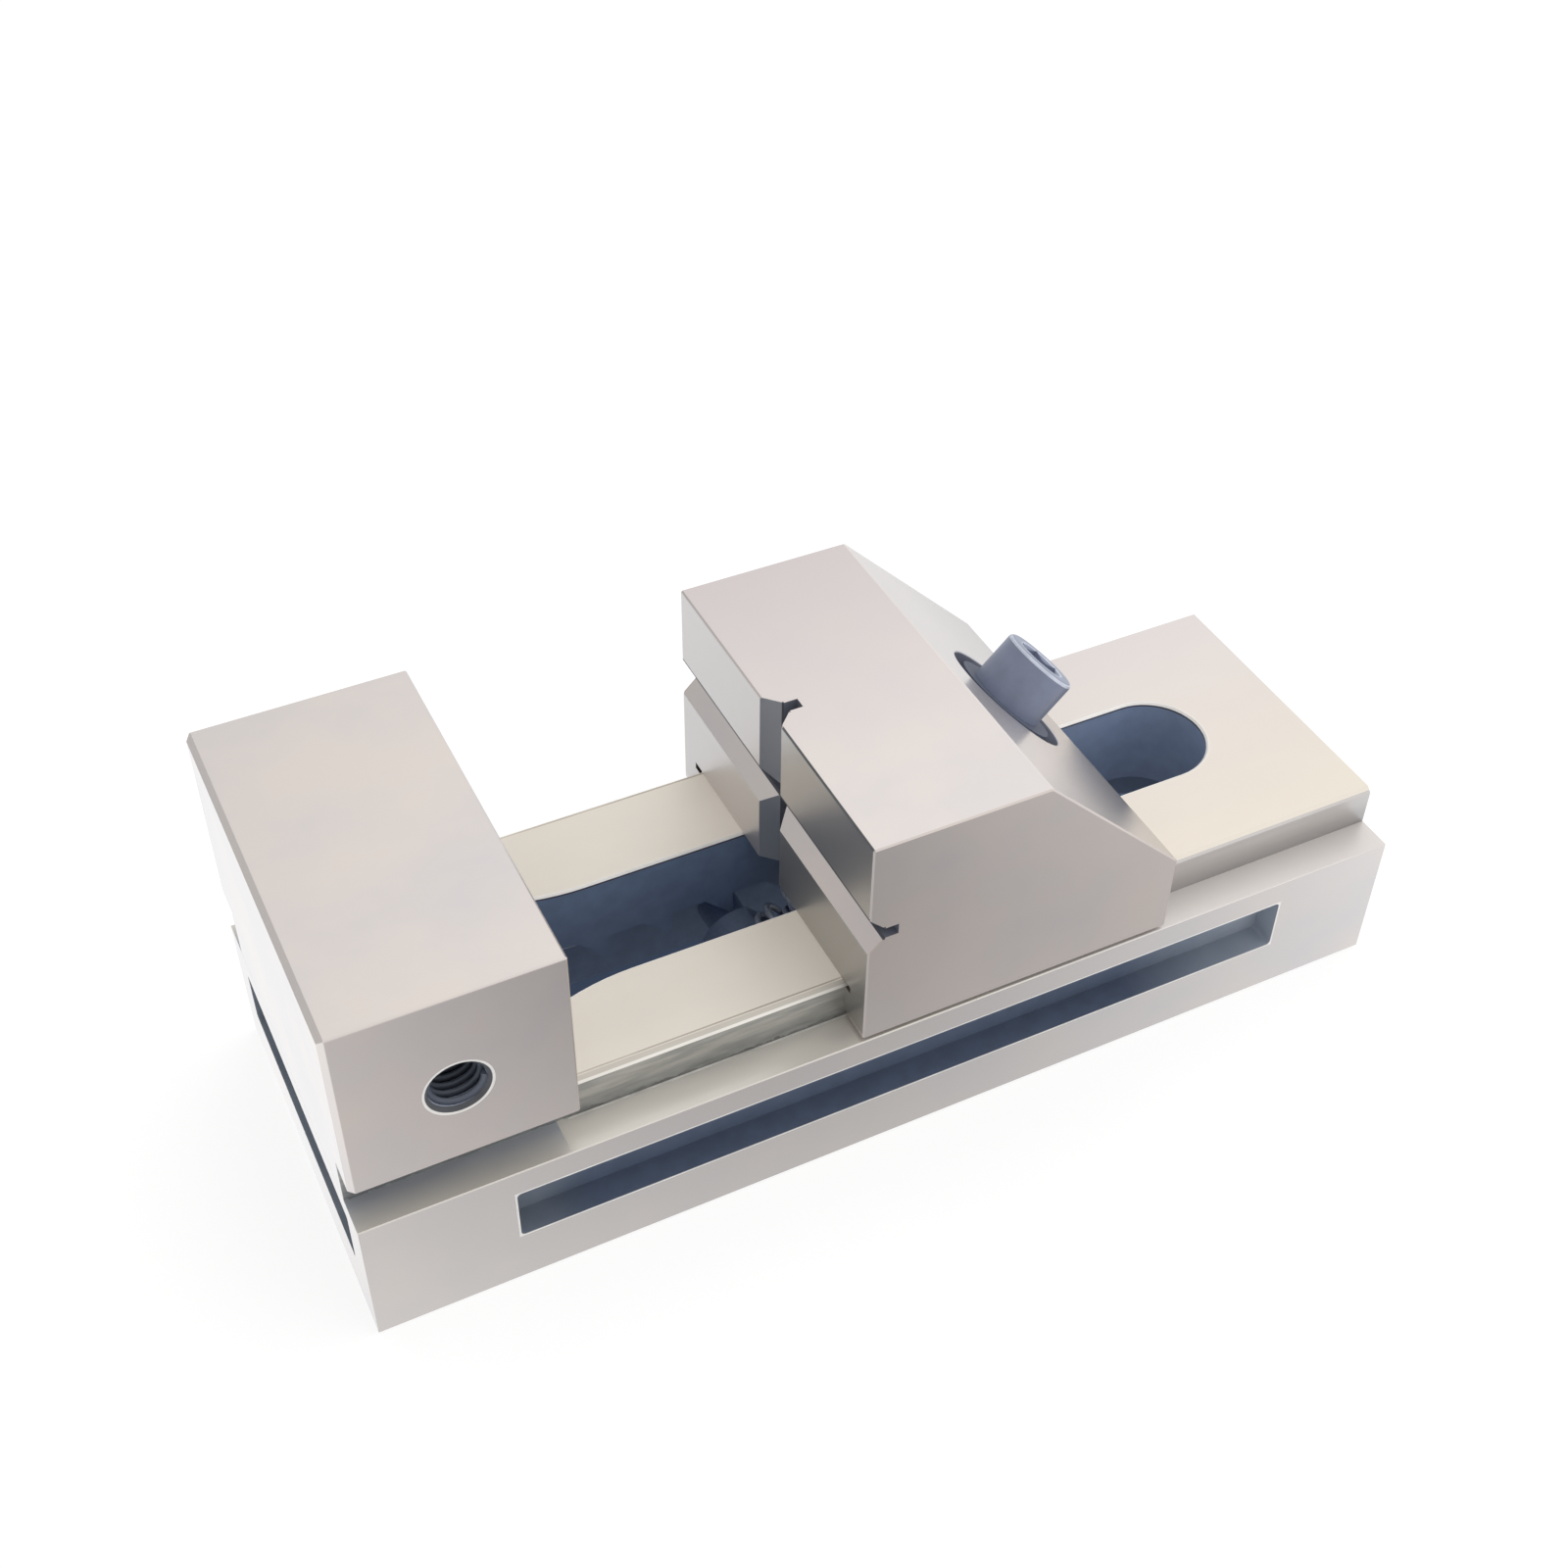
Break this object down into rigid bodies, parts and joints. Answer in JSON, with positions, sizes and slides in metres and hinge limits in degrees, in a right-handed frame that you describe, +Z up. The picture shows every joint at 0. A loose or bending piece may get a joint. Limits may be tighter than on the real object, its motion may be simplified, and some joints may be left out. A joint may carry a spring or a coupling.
{
  "type": "toolmaker's vise",
  "caption": "Ground steel pull-down toolmaker's vise: one-piece body with fixed jaw, sliding V-grooved jaw drawn down by a slanted cap screw and a cross nut under the bed.",
  "frame": {"origin": "centre of the body's ground bottom face", "axes": "+X along the body from the fixed jaw to the tail, +Z up"},
  "size_m": [0.2, 0.073, 0.074],
  "materials": {
    "ground_steel": "surface ground, hardened",
    "washer_steel": "turned and hardened",
    "black_steel": "black oxide",
    "nut_steel": "turned",
    "spring_steel": "drawn wire and strip"
  },
  "bodies": {
    "base": {"body": "ground_steel"},
    "jaw": {"movable_jaw": "ground_steel", "seat_ring": "washer_steel", "spring_washer": "washer_steel"},
    "swivel": {"ball_washer": "washer_steel", "release_spring": "spring_steel"},
    "screw": {"draw_screw": "black_steel", "retaining_ring": "spring_steel"},
    "nut": {"cross_nut": "nut_steel"}
  },
  "joints": [
    {"name": "jaw_slide", "type": "slide", "parent": "base", "child": "jaw", "axis": [1, 0, 0], "range_m": [-0.051, 0.049]},
    {"name": "screw_swing", "type": "hinge", "parent": "jaw", "child": "swivel", "pos_m": [0.0429, 0, 0.06649], "axis": [0, 1, 0], "range_deg": [-1, 1]},
    {"name": "screw_turn", "type": "hinge", "parent": "swivel", "child": "screw", "pos_m": [0.03605, 0, 0.05965], "axis": [0.7071, 0, 0.7071], "range_deg": [0, 1800]},
    {"name": "nut_travel", "type": "slide", "parent": "swivel", "child": "nut", "axis": [0.7071, 0, 0.7071], "range_m": [0, 0.00794], "deforming": ["release_spring"]}
  ],
  "couplings": [
    {"joint": "screw_turn", "follows": "nut_travel", "rad_per_m": 3957.9}
  ]
}
